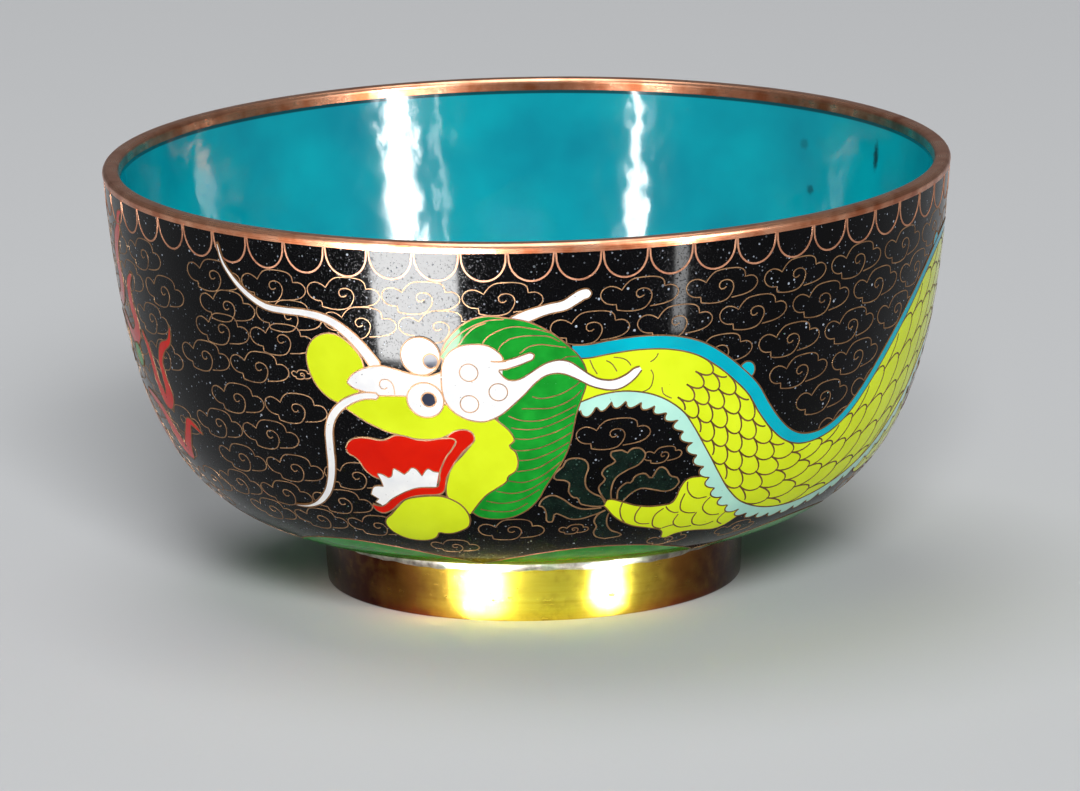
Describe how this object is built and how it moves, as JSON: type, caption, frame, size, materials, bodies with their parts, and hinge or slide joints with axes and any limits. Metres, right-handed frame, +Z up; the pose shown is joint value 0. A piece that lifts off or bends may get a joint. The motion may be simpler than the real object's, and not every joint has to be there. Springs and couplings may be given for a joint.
{
  "type": "cloisonne bowl",
  "caption": "Round metal bowl on a foot ring, enamelled inside and out, with a bare copper rim; holds small things or stands as an ornament.",
  "frame": {"origin": "centre of the foot ring's underside, on the floor the bowl stands on", "axes": "+Z up along the bowl's axis; -Y is the side with the dragon's head, which faces the viewer"},
  "size_m": [0.114, 0.114, 0.0574],
  "materials": {
    "rim_copper": "polished copper, slightly worn and toned",
    "black_enamel": "glossy black glass enamel with fine pits, ground for the inlaid picture",
    "turquoise_enamel": "glossy mottled turquoise glass enamel",
    "foot_brass": "polished brass with fine turning marks, toned to copper red at its edges",
    "inlaid_wire": "thin polished wire between the enamel cells, flush with them; only the visual model has it",
    "yellow_enamel": "glossy yellow-green enamel cell; only the visual model has it",
    "green_enamel": "glossy green enamel cell; only the visual model has it",
    "pale_blue_enamel": "glossy pale blue enamel cell; only the visual model has it",
    "white_enamel": "glossy white enamel cell with small pits; only the visual model has it",
    "red_enamel": "glossy red enamel cell; only the visual model has it"
  },
  "bodies": {
    "root": {"copper_bowl": "rim_copper", "outer_enamel": "black_enamel", "inner_enamel": "turquoise_enamel", "base_enamel": "turquoise_enamel", "foot_ring": "foot_brass"}
  },
  "joints": []
}
